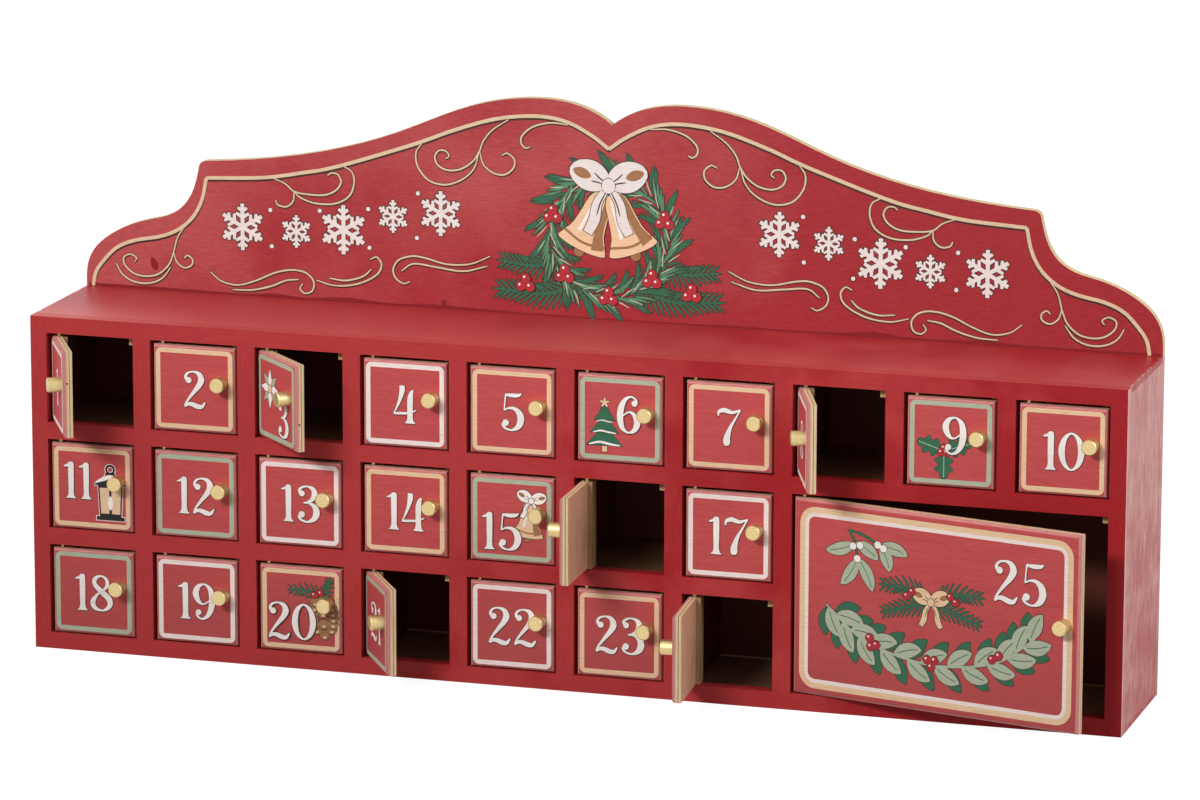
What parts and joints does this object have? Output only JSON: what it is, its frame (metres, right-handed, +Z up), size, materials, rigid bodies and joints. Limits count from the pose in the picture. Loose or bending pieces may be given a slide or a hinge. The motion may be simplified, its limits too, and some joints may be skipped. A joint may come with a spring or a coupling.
{
  "type": "advent calendar",
  "caption": "Free-standing wooden advent calendar: a shallow red case of small compartments behind numbered hinged doors with knobs, under a shaped header board.",
  "frame": {"origin": "centre of the underside of the case", "axes": "+X along the width with the door hinges towards -X, -Y out of the doors, +Z up"},
  "size_m": [0.4666, 0.1013, 0.2343],
  "materials": {
    "frame_paint": "satin red paint",
    "case_wood": "thin red wash",
    "header_paint": "satin red paint",
    "bay_wood": "dark stain",
    "stop_wood": "bare wood",
    "pin_brass": "satin",
    "knob_brass": "satin",
    "door_01_wood": "red washed face, bare back",
    "door_02_wood": "red washed face, bare back",
    "door_03_wood": "red washed face, bare back",
    "door_04_wood": "red washed face, bare back",
    "door_05_wood": "red washed face, bare back",
    "door_06_wood": "red washed face, bare back",
    "door_07_wood": "red washed face, bare back",
    "door_08_wood": "red washed face, bare back",
    "door_09_wood": "red washed face, bare back",
    "door_10_wood": "red washed face, bare back",
    "door_11_wood": "red washed face, bare back",
    "door_12_wood": "red washed face, bare back",
    "door_13_wood": "red washed face, bare back",
    "door_14_wood": "red washed face, bare back",
    "door_15_wood": "red washed face, bare back",
    "door_16_wood": "red washed face, bare back",
    "door_17_wood": "red washed face, bare back",
    "door_18_wood": "red washed face, bare back",
    "door_19_wood": "red washed face, bare back",
    "door_20_wood": "red washed face, bare back",
    "door_21_wood": "red washed face, bare back",
    "door_22_wood": "red washed face, bare back",
    "door_23_wood": "red washed face, bare back",
    "door_24_wood": "red washed face, bare back",
    "door_25_wood": "red washed face, bare back"
  },
  "bodies": {
    "case": {"face_rails": "frame_paint", "face_stiles": "frame_paint", "top_board": "case_wood", "bottom_board": "case_wood", "end_panels": "case_wood", "back_board": "header_paint", "dividers": "bay_wood", "shelves": "bay_wood", "door_stops": "stop_wood", "hinge_pins": "pin_brass"},
    "door_01": {"door_01": "door_01_wood", "knob_01": "knob_brass"},
    "door_02": {"door_02": "door_02_wood", "knob_02": "knob_brass"},
    "door_03": {"door_03": "door_03_wood", "knob_03": "knob_brass"},
    "door_04": {"door_04": "door_04_wood", "knob_04": "knob_brass"},
    "door_05": {"door_05": "door_05_wood", "knob_05": "knob_brass"},
    "door_06": {"door_06": "door_06_wood", "knob_06": "knob_brass"},
    "door_07": {"door_07": "door_07_wood", "knob_07": "knob_brass"},
    "door_08": {"door_08": "door_08_wood", "knob_08": "knob_brass"},
    "door_09": {"door_09": "door_09_wood", "knob_09": "knob_brass"},
    "door_10": {"door_10": "door_10_wood", "knob_10": "knob_brass"},
    "door_11": {"door_11": "door_11_wood", "knob_11": "knob_brass"},
    "door_12": {"door_12": "door_12_wood", "knob_12": "knob_brass"},
    "door_13": {"door_13": "door_13_wood", "knob_13": "knob_brass"},
    "door_14": {"door_14": "door_14_wood", "knob_14": "knob_brass"},
    "door_15": {"door_15": "door_15_wood", "knob_15": "knob_brass"},
    "door_16": {"door_16": "door_16_wood", "knob_16": "knob_brass"},
    "door_17": {"door_17": "door_17_wood", "knob_17": "knob_brass"},
    "door_18": {"door_18": "door_18_wood", "knob_18": "knob_brass"},
    "door_19": {"door_19": "door_19_wood", "knob_19": "knob_brass"},
    "door_20": {"door_20": "door_20_wood", "knob_20": "knob_brass"},
    "door_21": {"door_21": "door_21_wood", "knob_21": "knob_brass"},
    "door_22": {"door_22": "door_22_wood", "knob_22": "knob_brass"},
    "door_23": {"door_23": "door_23_wood", "knob_23": "knob_brass"},
    "door_24": {"door_24": "door_24_wood", "knob_24": "knob_brass"},
    "door_25": {"door_25": "door_25_wood", "knob_25": "knob_brass"}
  },
  "joints": [
    {"name": "door_01_hinge", "type": "hinge", "parent": "case", "child": "door_01", "pos_m": [-0.22149, -0.03125, 0.1165], "axis": [0, 0, -1], "range_deg": [-61, 44]},
    {"name": "door_02_hinge", "type": "hinge", "parent": "case", "child": "door_02", "pos_m": [-0.17549, -0.03125, 0.1165], "axis": [0, 0, -1], "range_deg": [0, 105]},
    {"name": "door_03_hinge", "type": "hinge", "parent": "case", "child": "door_03", "pos_m": [-0.12949, -0.03125, 0.1165], "axis": [0, 0, -1], "range_deg": [-45, 60]},
    {"name": "door_04_hinge", "type": "hinge", "parent": "case", "child": "door_04", "pos_m": [-0.08349, -0.03125, 0.1165], "axis": [0, 0, -1], "range_deg": [0, 105]},
    {"name": "door_05_hinge", "type": "hinge", "parent": "case", "child": "door_05", "pos_m": [-0.03749, -0.03125, 0.1165], "axis": [0, 0, -1], "range_deg": [0, 105]},
    {"name": "door_06_hinge", "type": "hinge", "parent": "case", "child": "door_06", "pos_m": [0.00851, -0.03125, 0.1165], "axis": [0, 0, -1], "range_deg": [0, 105]},
    {"name": "door_07_hinge", "type": "hinge", "parent": "case", "child": "door_07", "pos_m": [0.05451, -0.03125, 0.1165], "axis": [0, 0, -1], "range_deg": [0, 105]},
    {"name": "door_08_hinge", "type": "hinge", "parent": "case", "child": "door_08", "pos_m": [0.10051, -0.03125, 0.1165], "axis": [0, 0, -1], "range_deg": [-69, 36]},
    {"name": "door_09_hinge", "type": "hinge", "parent": "case", "child": "door_09", "pos_m": [0.14651, -0.03125, 0.1165], "axis": [0, 0, -1], "range_deg": [0, 105]},
    {"name": "door_10_hinge", "type": "hinge", "parent": "case", "child": "door_10", "pos_m": [0.19251, -0.03125, 0.1165], "axis": [0, 0, -1], "range_deg": [0, 105]},
    {"name": "door_11_hinge", "type": "hinge", "parent": "case", "child": "door_11", "pos_m": [-0.22149, -0.03125, 0.0713], "axis": [0, 0, -1], "range_deg": [0, 105]},
    {"name": "door_12_hinge", "type": "hinge", "parent": "case", "child": "door_12", "pos_m": [-0.17549, -0.03125, 0.0713], "axis": [0, 0, -1], "range_deg": [0, 105]},
    {"name": "door_13_hinge", "type": "hinge", "parent": "case", "child": "door_13", "pos_m": [-0.12949, -0.03125, 0.0713], "axis": [0, 0, -1], "range_deg": [0, 105]},
    {"name": "door_14_hinge", "type": "hinge", "parent": "case", "child": "door_14", "pos_m": [-0.08349, -0.03125, 0.0713], "axis": [0, 0, -1], "range_deg": [0, 105]},
    {"name": "door_15_hinge", "type": "hinge", "parent": "case", "child": "door_15", "pos_m": [-0.03749, -0.03125, 0.0713], "axis": [0, 0, -1], "range_deg": [0, 105]},
    {"name": "door_16_hinge", "type": "hinge", "parent": "case", "child": "door_16", "pos_m": [0.00851, -0.03125, 0.0713], "axis": [0, 0, -1], "range_deg": [-88, 17]},
    {"name": "door_17_hinge", "type": "hinge", "parent": "case", "child": "door_17", "pos_m": [0.05451, -0.03125, 0.0713], "axis": [0, 0, -1], "range_deg": [0, 105]},
    {"name": "door_18_hinge", "type": "hinge", "parent": "case", "child": "door_18", "pos_m": [-0.22149, -0.03125, 0.0261], "axis": [0, 0, -1], "range_deg": [0, 105]},
    {"name": "door_19_hinge", "type": "hinge", "parent": "case", "child": "door_19", "pos_m": [-0.17549, -0.03125, 0.0261], "axis": [0, 0, -1], "range_deg": [0, 105]},
    {"name": "door_20_hinge", "type": "hinge", "parent": "case", "child": "door_20", "pos_m": [-0.12949, -0.03125, 0.0261], "axis": [0, 0, -1], "range_deg": [0, 105]},
    {"name": "door_21_hinge", "type": "hinge", "parent": "case", "child": "door_21", "pos_m": [-0.08349, -0.03125, 0.0261], "axis": [0, 0, -1], "range_deg": [-57, 48]},
    {"name": "door_22_hinge", "type": "hinge", "parent": "case", "child": "door_22", "pos_m": [-0.03749, -0.03125, 0.0261], "axis": [0, 0, -1], "range_deg": [0, 105]},
    {"name": "door_23_hinge", "type": "hinge", "parent": "case", "child": "door_23", "pos_m": [0.00851, -0.03125, 0.0261], "axis": [0, 0, -1], "range_deg": [0, 105]},
    {"name": "door_24_hinge", "type": "hinge", "parent": "case", "child": "door_24", "pos_m": [0.05451, -0.03125, 0.0261], "axis": [0, 0, -1], "range_deg": [-85, 20]},
    {"name": "door_25_hinge", "type": "hinge", "parent": "case", "child": "door_25", "pos_m": [0.10051, -0.03125, 0.0487], "axis": [0, 0, -1], "range_deg": [-13, 92]}
  ]
}
